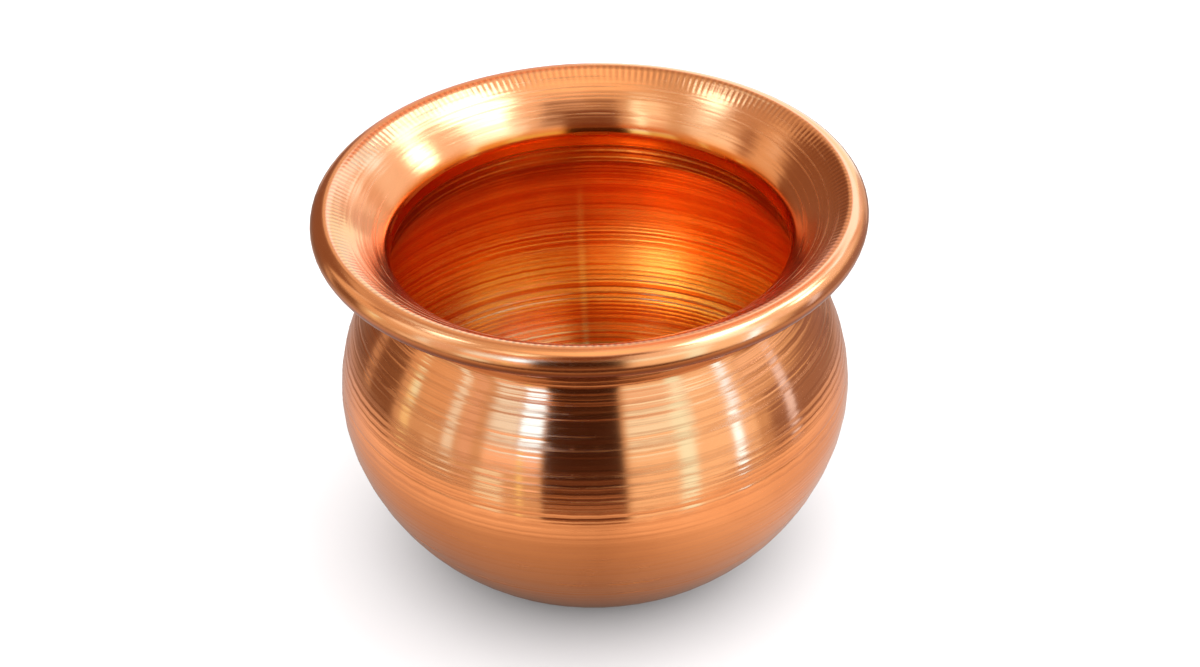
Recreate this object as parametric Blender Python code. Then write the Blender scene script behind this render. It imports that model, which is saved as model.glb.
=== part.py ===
"""A copper lota: a spun bowl, a flared mouth let into its neck, and a wired rim.

Units are metres and +Z is up. The pot stands on z = 0 with its axis on Z.
Each piece is an outline in the (radius, height) plane that is spun about Z,
and all outlines share the pot's frame, so mating faces come from the same values.
"""

import math

import bmesh
import bpy
from mathutils import Matrix, Vector

# Driving sizes, in metres
HEIGHT = 0.0810              # floor to the top of the rolled rim
RIM_RADIUS = 0.0550          # outside of the rolled rim
WIRE_DIAMETER = 0.0040       # stiffening wire in the rim
WIRE_BUTT_GAP = 0.0012       # opening between the two ends of the wire
MOUTH_WALL = 0.0008          # sheet of the flared mouth
THROAT_RADIUS = 0.0398       # inside of the throat, the narrowest place
THROAT_DEPTH = 0.0105        # rim top down to the throat
THROAT_FILLET = 0.0038       # bend between the throat and the flare
FLARE_BEND = 0.0400          # long bend of the trumpet flare
SLEEVE_LAP = 0.0016          # length of the sleeve inside the bowl's neck

BOWL_WALL = 0.0008           # sheet of the bowl
BASE_RADIUS = 0.0200         # flat that the pot stands on
BELLY_RADIUS = 0.0515        # widest place of the bowl
BELLY_HEIGHT = 0.0375        # height of the widest place
NECK_LENGTH = 0.0050         # straight upstand of the neck
NECK_FILLET = 0.0040         # bend between the shoulder and the neck
SHOULDER_SLOPE = 54.5        # degrees above level where the shoulder meets the bend

BASE_SWEEP = 0.0165          # how far the foot of the curve runs level
BELLY_SWEEP_DOWN = 0.0162    # how far the belly runs upright below its widest place
BELLY_SWEEP_UP = 0.0107      # the same, above it
SHOULDER_SWEEP = 0.0077      # how far the shoulder runs straight before the neck

BRAZE_LENGTH = 0.0030        # run of the braze fillet from the neck's edge up under the flare
BRAZE_TOE = 0.0002           # thickness left at the fillet's upper end
JOINT_CLEARANCE = 0.0003     # gap between mating faces
ROLL_SLIT = 0.0005           # gap between the rolled edge and the flare

# Fineness of the spun meshes
SEGMENTS = 64
BOWL_STEPS = 11
SHOULDER_STEPS = 7
BEND_STEPS = 4
ROLL_STEPS = 14
WIRE_SIDES = 10
BRAZE_STEPS = 3
SHARP_ANGLE = math.radians(40)

# Sizes that follow from the driving ones
WIRE_RADIUS = WIRE_DIAMETER / 2
ROLL_RADIUS = WIRE_RADIUS + JOINT_CLEARANCE + MOUTH_WALL
ROLL_CENTRE = Vector((RIM_RADIUS - ROLL_RADIUS, HEIGHT - ROLL_RADIUS))
THROAT_CENTRE = Vector((THROAT_RADIUS + THROAT_FILLET, HEIGHT - THROAT_DEPTH))
NECK_INNER = THROAT_RADIUS + MOUTH_WALL + JOINT_CLEARANCE
NECK_OUTER = NECK_INNER + BOWL_WALL
NECK_TOP = THROAT_CENTRE.y

COPPER = (0.80, 0.36, 0.20)
COPPER_WIRE = (0.72, 0.33, 0.19)
BRAZE = (0.78, 0.55, 0.30)


def on_circle(centre, radius, angle):
    """Point on a circle at an angle in radians."""
    return centre + radius * Vector((math.cos(angle), math.sin(angle)))


def inner_tangent_centre(first, first_radius, second, second_radius, radius):
    """Centre of a large circle that wraps round two smaller ones and touches both.

    Of the two such centres, the one below the line from first to second is taken.
    """
    to_first = radius - first_radius
    to_second = radius - second_radius
    span = second - first
    length = span.length
    along = (to_first ** 2 - to_second ** 2 + length ** 2) / (2 * length)
    aside = math.sqrt(to_first ** 2 - along ** 2)
    direction = span / length
    return first + along * direction + aside * Vector((direction.y, -direction.x))


FLARE_CENTRE = inner_tangent_centre(
    THROAT_CENTRE, THROAT_FILLET, ROLL_CENTRE, ROLL_RADIUS, FLARE_BEND)
FLARE_LOW = math.atan2(*reversed(THROAT_CENTRE - FLARE_CENTRE))
FLARE_HIGH = math.atan2(*reversed(ROLL_CENTRE - FLARE_CENTRE))


# A path is a list of (point, normal), with the normal on the left of the way it runs.

def line(start, end):
    """Straight path."""
    way = (end - start).normalized()
    normal = Vector((-way.y, way.x))
    return [(start, normal), (end, normal)]


def arc(centre, radius, start, end, steps):
    """Clockwise path round a centre, so the normal on its left points outwards."""
    path = []
    for step in range(steps + 1):
        angle = start + (end - start) * step / steps
        point = on_circle(centre, radius, angle)
        path.append((point, (point - centre) / radius))
    return path


def curve(start, start_pull, end_pull, end, steps):
    """Cubic path between two points, drawn towards its two pull points."""
    path = []
    for step in range(steps + 1):
        t = step / steps
        u = 1 - t
        point = u ** 3 * start + 3 * u * u * t * start_pull + 3 * u * t * t * end_pull + t ** 3 * end
        way = u * u * (start_pull - start) + 2 * u * t * (end_pull - start_pull) + t * t * (end - end_pull)
        way.normalize()
        path.append((point, Vector((-way.y, way.x))))
    return path


def joined(*paths):
    """One path from several that follow on, without the doubled points."""
    whole = list(paths[0])
    for path in paths[1:]:
        whole.extend(path[1:])
    return whole


def sheet(path, wall):
    """Outline of a sheet that has the path as one face; a positive wall lies on the left."""
    shown = [point for point, normal in path]
    hidden = [point + wall * normal for point, normal in path]
    return shown + hidden[::-1]


def finish(name, colour, roughness):
    """Bare metal."""
    material = bpy.data.materials.new(name)
    material.use_nodes = True
    shader = material.node_tree.nodes["Principled BSDF"]
    shader.inputs["Base Color"].default_value = (*colour, 1.0)
    shader.inputs["Roughness"].default_value = roughness
    shader.inputs["Metallic"].default_value = 1.0
    material.diffuse_color = (*colour, 1.0)
    return material


def spun(name, outline, material, parent, on_axis=False, opening=0.0):
    """Closed body from an outline spun about Z.

    An outline on the axis starts and ends at radius zero and stays open there.
    An opening, in radians, leaves the ring unclosed, with two flat ends.
    """
    shape = bmesh.new()
    corners = [shape.verts.new((point.x, 0.0, point.y)) for point in outline]
    edges = [shape.edges.new(pair) for pair in zip(corners, corners[1:])]
    if not on_axis:
        edges.append(shape.edges.new((corners[-1], corners[0])))
    bmesh.ops.rotate(shape, verts=corners, matrix=Matrix.Rotation(opening / 2, 3, "Z"))
    bmesh.ops.spin(
        shape, geom=corners + edges, cent=(0, 0, 0), axis=(0, 0, 1),
        angle=math.tau - opening, steps=SEGMENTS, use_merge=opening == 0.0)
    bmesh.ops.remove_doubles(shape, verts=shape.verts, dist=1e-7)
    if opening:
        bmesh.ops.holes_fill(shape, edges=[edge for edge in shape.edges if edge.is_boundary])
    bmesh.ops.recalc_face_normals(shape, faces=shape.faces)

    mesh = bpy.data.meshes.new(name)
    shape.to_mesh(mesh)
    shape.free()
    mesh.shade_smooth()
    mesh.set_sharp_from_angle(angle=SHARP_ANGLE)
    mesh.materials.append(material)
    piece = bpy.data.objects.new(name, mesh)
    piece.parent = parent
    bpy.context.collection.objects.link(piece)
    return piece


def bowl_outline():
    """Flat base, belly and shoulder, bent up into a straight neck; the wall lies inside."""
    foot = Vector((BASE_RADIUS, 0.0))
    belly = Vector((BELLY_RADIUS, BELLY_HEIGHT))
    slope = math.radians(SHOULDER_SLOPE)
    neck_start = Vector((NECK_OUTER, NECK_TOP - NECK_LENGTH))
    bend_centre = neck_start + Vector((NECK_FILLET, 0.0))
    bend_start_angle = math.pi + math.pi / 2 - slope
    shoulder = on_circle(bend_centre, NECK_FILLET, bend_start_angle)
    shoulder_way = Vector((-math.cos(slope), math.sin(slope)))

    base = line(Vector((0.0, 0.0)), foot)
    lower = curve(
        foot, foot + Vector((BASE_SWEEP, 0.0)),
        belly - Vector((0.0, BELLY_SWEEP_DOWN)), belly, BOWL_STEPS)
    upper = curve(
        belly, belly + Vector((0.0, BELLY_SWEEP_UP)),
        shoulder - SHOULDER_SWEEP * shoulder_way, shoulder, SHOULDER_STEPS)
    bend = arc(bend_centre, NECK_FILLET, bend_start_angle, math.pi, BEND_STEPS)
    neck = line(neck_start, Vector((NECK_OUTER, NECK_TOP)))
    return sheet(joined(base, lower, upper, bend, neck), BOWL_WALL)


def mouth_outline():
    """Sleeve, throat bend, flare and the edge rolled round the wire; the wall lies below."""
    sleeve = line(
        Vector((THROAT_RADIUS, NECK_TOP - SLEEVE_LAP)), Vector((THROAT_RADIUS, THROAT_CENTRE.y)))
    throat = arc(THROAT_CENTRE, THROAT_FILLET, math.pi, FLARE_LOW, BEND_STEPS)
    flare = arc(FLARE_CENTRE, FLARE_BEND, FLARE_LOW, FLARE_HIGH, BEND_STEPS)
    slit = math.acos((ROLL_RADIUS - MOUTH_WALL - ROLL_SLIT) / ROLL_RADIUS)
    roll = arc(ROLL_CENTRE, ROLL_RADIUS, FLARE_HIGH, FLARE_HIGH + slit - math.tau, ROLL_STEPS)
    return sheet(joined(sleeve, throat, flare, roll), -MOUTH_WALL)


def wire_outline():
    """Round section of the wire, at the centre of the roll."""
    turn = arc(ROLL_CENTRE, WIRE_RADIUS, 0.0, -math.tau, WIRE_SIDES)
    return [point for point, normal in turn[:-1]]


def braze_outline():
    """Filler that sits on the neck's edge and runs out thin under the flare."""
    bend = THROAT_FILLET - MOUTH_WALL - JOINT_CLEARANCE
    flare = FLARE_BEND - MOUTH_WALL - JOINT_CLEARANCE
    low = math.pi - math.asin(JOINT_CLEARANCE / bend)
    rest = BRAZE_LENGTH - bend * (low - FLARE_LOW)
    seat = joined(
        arc(THROAT_CENTRE, bend, low, FLARE_LOW, BRAZE_STEPS),
        arc(FLARE_CENTRE, flare, FLARE_LOW, FLARE_LOW - rest / flare, 1))
    last = len(seat) - 1
    face = [
        point - (BOWL_WALL + (BRAZE_TOE - BOWL_WALL) * step / last) * normal
        for step, (point, normal) in enumerate(seat)
    ]
    return [point for point, normal in seat] + face[::-1]


def build():
    """Clear the scene and make the four pieces."""
    for leftover in list(bpy.data.objects):
        bpy.data.objects.remove(leftover, do_unlink=True)
    lota = bpy.data.objects.new("lota", None)
    bpy.context.collection.objects.link(lota)

    spun("bowl", bowl_outline(), finish("bowl_copper", COPPER, 0.16), lota, on_axis=True)
    spun("flared_mouth", mouth_outline(), finish("mouth_copper", COPPER, 0.14), lota)
    spun(
        "rim_wire", wire_outline(), finish("wire_copper", COPPER_WIRE, 0.40), lota,
        opening=WIRE_BUTT_GAP / ROLL_CENTRE.x)
    spun("neck_braze_ring", braze_outline(), finish("braze_filler", BRAZE, 0.45), lota)


build()
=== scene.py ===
"""Looks of a copper lota: turned and polished sheet, a wired rim, and a plain white studio.

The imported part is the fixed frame. Each of its four nodes is replaced by a finer surface of
revolution, with the lathe's rings and the milled ticks of the mouth as real relief.
Lengths are metres and +Z is up; angles are radians unless a name says degrees.
"""
import logging
import math
from dataclasses import dataclass, field
from enum import Enum

import bpy
import numpy as np
from mathutils import Matrix, Vector


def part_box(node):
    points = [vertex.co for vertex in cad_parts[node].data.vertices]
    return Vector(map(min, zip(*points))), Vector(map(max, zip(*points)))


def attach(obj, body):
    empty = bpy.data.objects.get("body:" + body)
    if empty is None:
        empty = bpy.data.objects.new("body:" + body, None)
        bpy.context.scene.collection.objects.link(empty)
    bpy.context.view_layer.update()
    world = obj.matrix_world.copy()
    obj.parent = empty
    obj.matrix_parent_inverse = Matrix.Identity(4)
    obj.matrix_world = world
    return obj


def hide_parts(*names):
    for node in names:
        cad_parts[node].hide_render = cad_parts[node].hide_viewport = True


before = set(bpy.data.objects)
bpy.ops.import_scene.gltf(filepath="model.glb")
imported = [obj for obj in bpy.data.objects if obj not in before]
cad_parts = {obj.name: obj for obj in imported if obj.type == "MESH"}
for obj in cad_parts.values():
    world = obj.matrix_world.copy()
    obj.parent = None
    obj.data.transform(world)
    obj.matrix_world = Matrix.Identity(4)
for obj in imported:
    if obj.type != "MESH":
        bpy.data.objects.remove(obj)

Array = np.ndarray
Colour = tuple[float, float, float]
Span = tuple[float, float]
Ramp = tuple[float, float, float, float]
Socket = bpy.types.NodeSocket

LOG = logging.getLogger("lota")
ROOT_BODY = "root"
GROOVE = "groove"
MM = 0.001
CAD_SIDES = 64
NOISE_GAIN = 0.62
QUARTER_TURN = 0.25


class Side(Enum):
    """Which side of a profile's run the metal lies on."""

    LEFT = 1.0
    RIGHT = -1.0


class Face(Enum):
    """The faces of a sheet, by the index of the finish they wear."""

    SHOWN = 0
    HIDDEN = 1
    ROLLED = 2


# Profiles in the (radius, height) plane

@dataclass(frozen=True)
class Profile:
    """A run of points in the (radius, height) plane, with the unit normal on the left of each."""

    points: Array
    normals: Array

    @classmethod
    def line(cls, start: Array, end: Array, spacing: float) -> "Profile":
        """Straight run: start + t (end - start).

        Args:
            start: First point.
            end: Last point.
            spacing: Greatest distance between points.

        Returns:
            The run, with one normal all along.
        """
        way = end - start
        length = float(np.hypot(*way))
        t = np.linspace(0.0, 1.0, max(2, math.ceil(length / spacing) + 1))[:, None]
        normal = np.array([-way[1], way[0]]) / length
        return cls(start + t * way, np.broadcast_to(normal, (len(t), 2)))

    @classmethod
    def arc(cls, centre: Array, radius: float, start: float, end: float, spacing: float) -> "Profile":
        """Round run: centre + radius (cos a, sin a), with a going from start to end.

        Args:
            centre: Centre of the circle.
            radius: Its radius.
            start: First angle.
            end: Last angle; a lower one than start runs clockwise.
            spacing: Greatest distance between points.

        Returns:
            The run; its normals point away from the centre where it runs clockwise.
        """
        count = max(3, math.ceil(abs(end - start) * radius / spacing) + 1)
        angle = np.linspace(start, end, count)
        out = np.stack([np.cos(angle), np.sin(angle)], axis=1)
        return cls(centre + radius * out, out * (1.0 if end < start else -1.0))

    @classmethod
    def curve(cls, start: Array, start_pull: Array, end_pull: Array, end: Array, spacing: float) -> "Profile":
        """Cubic run, weighted sum of four points by u^3, 3u^2t, 3ut^2 and t^3 with u = 1 - t.

        Args:
            start: First point.
            start_pull: Point that the run sets out towards.
            end_pull: Point that the run comes in from.
            end: Last point.
            spacing: Greatest distance between points, about.

        Returns:
            The run.
        """
        legs = (start_pull - start, end_pull - start_pull, end - end_pull)
        length = sum(np.hypot(*leg) for leg in legs)
        t = np.linspace(0.0, 1.0, max(3, math.ceil(length / spacing) + 1))[:, None]
        u = 1.0 - t
        points = u**3 * start + 3 * u * u * t * start_pull + 3 * u * t * t * end_pull + t**3 * end
        way = u * u * legs[0] + 2 * u * t * legs[1] + t * t * legs[2]
        way = way / np.linalg.norm(way, axis=1, keepdims=True)
        return cls(points, np.stack([-way[:, 1], way[:, 0]], axis=1))

    def then(self, *others: "Profile") -> "Profile":
        """This run and others that follow on from it, without the doubled points.

        Args:
            others: Runs that each start where the one before ends.

        Returns:
            The whole run.
        """
        points = [self.points] + [run.points[1:] for run in others]
        normals = [self.normals] + [run.normals[1:] for run in others]
        return Profile(np.concatenate(points), np.concatenate(normals))

    def lengths(self) -> Array:
        """Distance along the run at each point."""
        steps = np.linalg.norm(np.diff(self.points, axis=0), axis=1)
        return np.concatenate([[0.0], np.cumsum(steps)])


def on_circle(centre: Array, radius: float, angle: float) -> Array:
    """Point of a circle at an angle."""
    return centre + radius * np.array([math.cos(angle), math.sin(angle)])


def smooth_step(value: Array, low: float, high: float) -> Array:
    """Rise from 0 at low to 1 at high along 3t^2 - 2t^3.

    Args:
        value: Where to read it.
        low: Value that gives 0.
        high: Value that gives 1.

    Returns:
        The rise at each value.
    """
    t = np.clip((value - low) / (high - low), 0.0, 1.0)
    return t * t * (3.0 - 2.0 * t)


# Relief that the lathe leaves

@dataclass(frozen=True)
class TurnedRings:
    """Rings left by a turning tool: a fine feed ripple, scored lines and slow waves in the sheet."""

    seed: int
    ripple: float
    ripple_pitch: float
    score: float
    score_pitch: float
    score_width: float
    wave: float
    wave_pitch: float
    wander: float = 2.6
    wander_pitches: float = 9.1
    swell: float = 0.35
    swell_pitches: float = 13.0
    second_share: float = 0.45
    second_lag: float = 0.8
    third_share: float = 0.3
    third_rate: float = 2.7
    score_depths: Span = (0.15, 1.0)
    score_widths: Span = (0.7, 1.8)
    short_wave_share: float = 0.6
    short_wave_pitch: float = 0.61

    def depth(self, along: Array) -> Array:
        """Depth of the rings below the plain face.

        The ripple is a sine of the distance along the profile whose phase wanders, swelling and
        dying away; each scored line is a bell curve at a random place; the waves are two long sines.

        Args:
            along: Distance along the profile.

        Returns:
            Depth at each distance, which may be a little below zero.
        """
        rng = np.random.default_rng(self.seed)
        turn = math.tau * along
        wander = np.sin(turn / (self.wander_pitches * self.ripple_pitch) + rng.uniform(0, math.tau))
        swell = np.sin(turn / (self.swell_pitches * self.ripple_pitch) + rng.uniform(0, math.tau))
        phase = turn / self.ripple_pitch + self.wander * wander
        tones = np.sin(phase) + self.second_share * np.sin(2.0 * phase + self.second_lag)
        tones = tones + self.third_share * np.sin(self.third_rate * phase)
        ripple = self.ripple * (1.0 - self.swell + self.swell * swell) * tones
        count = max(1, int(along[-1] / self.score_pitch))
        places = rng.uniform(0.0, along[-1], count)
        depths = self.score * rng.uniform(*self.score_depths, count) ** 2
        widths = self.score_width * rng.uniform(*self.score_widths, count)
        lines = (depths * np.exp(-(((along[:, None] - places) / widths) ** 2))).sum(axis=1)
        waves = np.sin(turn / self.wave_pitch + rng.uniform(0, math.tau))
        short = np.sin(turn / (self.short_wave_pitch * self.wave_pitch) + rng.uniform(0, math.tau))
        return ripple + lines + self.wave * (waves + self.short_wave_share * short)


# Meshes of revolution

@dataclass
class LatheMesh:
    """Bands of rings about the Z axis, each band with its own number of points round, sewn together."""

    outward: Side
    vertices: list[Array] = field(default_factory=list)
    faces: list[list[int]] = field(default_factory=list)
    finishes: list[Array] = field(default_factory=list)
    count: int = 0

    def band(self, radius: Array, height: Array, finish: Array) -> Array:
        """Add a grid of points (r cos a, r sin a, z) and its quads.

        Args:
            radius: Radius at each ring and each place round it.
            height: Height likewise.
            finish: Index of the finish of the strip that follows each ring.

        Returns:
            Indices of the grid's points, one row to a ring.
        """
        rings, around = radius.shape
        angle = np.arange(around) * (math.tau / around)
        grid = np.stack([radius * np.cos(angle), radius * np.sin(angle), height], axis=-1)
        index = self.count + np.arange(rings * around).reshape(rings, around)
        self.vertices.append(grid.reshape(-1, 3))
        self.count += rings * around
        if rings > 1:
            self.quads(index[:-1], index[1:], np.repeat(finish[:-1], around))
        return index

    def quads(self, low: Array, high: Array, finish: Array) -> None:
        """Join rings to the next rings, point to point, with quads.

        Args:
            low: Point indices of the first rings.
            high: Point indices of the rings that follow them.
            finish: Index of the finish for each quad.
        """
        corners = [low, np.roll(low, -1, axis=-1), np.roll(high, -1, axis=-1), high]
        self.add(np.stack(corners, axis=-1).reshape(-1, 4), finish)

    def sew(self, low: Array, high: Array, finish: Face) -> None:
        """Join two rings of any counts, one of which divides the other; a count of 1 is a pole.

        Args:
            low: Point indices of the first ring.
            high: Point indices of the ring that follows it.
            finish: Finish of the strip.
        """
        few, many = (low, high) if len(low) <= len(high) else (high, low)
        ratio = len(many) // len(few)
        if ratio == 1:
            self.quads(low[None], high[None], np.full(len(low), finish.value))
            return
        step = np.arange(ratio + 1)
        starts = np.arange(len(few)) * ratio
        if len(few) == 1:
            starts = np.arange(len(many))
            step = np.arange(2)
        fan = many[(starts[:, None] + step) % len(many)]
        if len(few) == 1:
            faces = np.concatenate([fan, np.broadcast_to(few, (len(fan), 1))], axis=1)
        else:
            faces = np.concatenate([fan, np.roll(few, -1)[:, None], few[:, None]], axis=1)
        if few is low:
            faces = faces[:, ::-1]
        self.add(faces, np.full(len(faces), finish.value))

    def add(self, faces: Array, finish: Array) -> None:
        """Keep faces, turned round where the metal lies on the right of the profile.

        Args:
            faces: Point indices, one row to a face.
            finish: Index of the finish of each face.
        """
        turned = faces if self.outward is Side.LEFT else faces[:, ::-1]
        self.faces.extend(turned.tolist())
        self.finishes.append(np.asarray(finish, dtype=np.int32).ravel())

    def to_object(self, name: str) -> bpy.types.Object:
        """Make the Blender object, shaded smooth.

        Args:
            name: Name of the object and its mesh.

        Returns:
            The object, linked to the scene.
        """
        return new_object(name, np.concatenate(self.vertices), self.faces, np.concatenate(self.finishes))


def spread(rows: Array, around: int) -> tuple[Array, Array]:
    """Radius and height of plain rings, the same all round.

    Args:
        rows: Profile points, one to a ring.
        around: Number of places round each ring.

    Returns:
        The two grids.
    """
    radius, height = (np.repeat(rows[:, axis, None], around, axis=1) for axis in (0, 1))
    return radius, height


def new_object(name: str, vertices: Array, faces: list[list[int]], finish: Array) -> bpy.types.Object:
    """Make a smooth mesh object at the origin.

    Args:
        name: Name of the object and its mesh.
        vertices: Points, one row each.
        faces: Point indices of each face.
        finish: Index of the finish of each face.

    Returns:
        The object, linked to the scene.
    """
    mesh = bpy.data.meshes.new(name)
    mesh.from_pydata(vertices.tolist(), [], faces)
    mesh.polygons.foreach_set("material_index", finish)
    mesh.shade_smooth()
    mesh.update()
    piece = bpy.data.objects.new(name, mesh)
    bpy.context.scene.collection.objects.link(piece)
    return piece


def rounded_edge(point: Array, inwards: Array, onwards: Array, wall: float, steps: int = 6) -> Array:
    """Half circle over the edge of a sheet, from its shown face to its hidden one.

    Args:
        point: End of the shown face.
        inwards: Unit vector into the sheet.
        onwards: Unit vector past the edge.
        wall: Thickness of the sheet.
        steps: Number of points between the two faces.

    Returns:
        The points between the two faces.
    """
    angle = np.linspace(0.0, math.pi, steps + 2)[1:-1, None]
    middle = point + 0.5 * wall * inwards
    return middle + 0.5 * wall * (np.sin(angle) * onwards - np.cos(angle) * inwards)


# Finishes

class NodeTree:
    """Short ways to add nodes to a material or a world."""

    def __init__(self, tree: bpy.types.NodeTree) -> None:
        """Start from an empty tree."""
        self.tree = tree
        tree.nodes.clear()

    def node(self, kind: str, **settings: object) -> bpy.types.Node:
        """Add a node and set its properties.

        Args:
            kind: Blender's name of the node type.
            settings: Property names and values.

        Returns:
            The node.
        """
        made = self.tree.nodes.new(kind)
        for name, value in settings.items():
            setattr(made, name, value)
        return made

    def link(self, source: Socket, target: Socket) -> None:
        """Join two sockets."""
        self.tree.links.new(source, target)

    def feed(self, target: Socket, value: object) -> None:
        """Join a socket to a socket, or set it to a plain value.

        Args:
            target: Socket to feed.
            value: Socket or plain value.
        """
        if isinstance(value, Socket):
            self.link(value, target)
        else:
            target.default_value = value

    def math(self, operation: str, *values: object) -> Socket:
        """Add a Math node.

        Args:
            operation: Blender's name of the operation.
            values: Sockets or numbers, in order.

        Returns:
            Its result.
        """
        made = self.node("ShaderNodeMath", operation=operation)
        for target, value in zip(made.inputs, values):
            self.feed(target, value)
        return made.outputs[0]

    def ramp(self, value: object, low: float, high: float, to_low: float = 0.0, to_high: float = 1.0,
             smooth: bool = False) -> Socket:
        """Add a Map Range node.

        Args:
            value: Socket or number to map.
            low: Value that gives to_low.
            high: Value that gives to_high.
            to_low: Result at low.
            to_high: Result at high.
            smooth: Ease in and out.

        Returns:
            Its result.
        """
        made = self.node("ShaderNodeMapRange", interpolation_type="SMOOTHSTEP" if smooth else "LINEAR")
        for target, given in zip(made.inputs, (value, low, high, to_low, to_high)):
            self.feed(target, given)
        return made.outputs[0]

    def axes(self, place: Socket) -> tuple[Socket, Socket, Socket]:
        """Split a vector of coordinates.

        Args:
            place: The vector.

        Returns:
            Its x, y and z.
        """
        made = self.node("ShaderNodeSeparateXYZ")
        self.link(place, made.inputs[0])
        return tuple(made.outputs)

    def product(self, first: object, *others: object) -> Socket:
        """Multiply sockets or numbers.

        Args:
            first: First factor.
            others: Further factors.

        Returns:
            Their product.
        """
        for other in others:
            first = self.math("MULTIPLY", first, other)
        return first

    @staticmethod
    def rgba(colour: object) -> object:
        """A socket as it is, or a plain colour with its alpha."""
        return colour if isinstance(colour, Socket) else (*colour, 1.0)

    def mix(self, factor: object, first: object, second: object) -> Socket:
        """Mix two colours.

        Args:
            factor: Share of the second.
            first: Colour or socket.
            second: Colour or socket.

        Returns:
            The mixed colour.
        """
        made = self.node("ShaderNodeMix", data_type="RGBA")
        self.feed(made.inputs["Factor"], factor)
        for target, value in ((made.inputs[6], first), (made.inputs[7], second)):
            self.feed(target, self.rgba(value))
        return made.outputs[2]


COPPER: Colour = (0.95, 0.355, 0.122)
# Painted light: a lighter, yellower copy of COPPER for the inside wall, standing for the light gathered in
# the bowl.
COPPER_INSIDE_LIT: Colour = (0.99, 0.505, 0.112)
TARNISH: Colour = (0.80, 0.26, 0.08)
GROOVE_TARNISH: Colour = (0.42, 0.12, 0.04)
RING_TARNISH: Colour = (0.50, 0.14, 0.04)
# Colour of the painted highlights on the inside wall: a bright streak, bright patches and bright ring lines.
PAINTED_HIGHLIGHT: Colour = (1.0, 0.88, 0.42)


@dataclass(frozen=True)
class Tone:
    """A tone that takes over by height: none of it at the height `none`, all of it at the height `full`."""

    none: float
    full: float
    colour: Colour


@dataclass(frozen=True)
class Patch:
    """A patch of painted highlight or painted shade on a turned wall, soft at its edges and broken up by the
    rings.

    Its angle is taken from the back of the pot and is positive to the right. It comes in over the heights
    `low` and goes out over the heights `high`.
    """

    colour: Colour
    strength: float
    angle: float
    core: float
    reach: float
    low: Span
    high: Span
    ring_span: float = 0.12
    ring_share: float = 0.25

    def share(self, tree: NodeTree, place: Socket, rings: Socket) -> Socket:
        """Share of the patch's colour: a product of soft windows in angle and height, and of the rings.

        Args:
            tree: Tree to add to.
            place: Object coordinates.
            rings: Noise of the rings.

        Returns:
            The share.
        """
        x, y, height = tree.axes(place)
        aside = tree.math("ABSOLUTE", tree.math("SUBTRACT", tree.math("ARCTAN2", x, y), self.angle))
        across = tree.ramp(aside, self.core, self.reach, self.strength, 0.0, smooth=True)
        rise = tree.ramp(height, *self.low, smooth=True)
        fall = tree.ramp(height, *self.high, 1.0, 0.0, smooth=True)
        broken = tree.ramp(rings, -self.ring_span, self.ring_span, 1.0, self.ring_share)
        return tree.product(across, rise, fall, broken)


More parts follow.
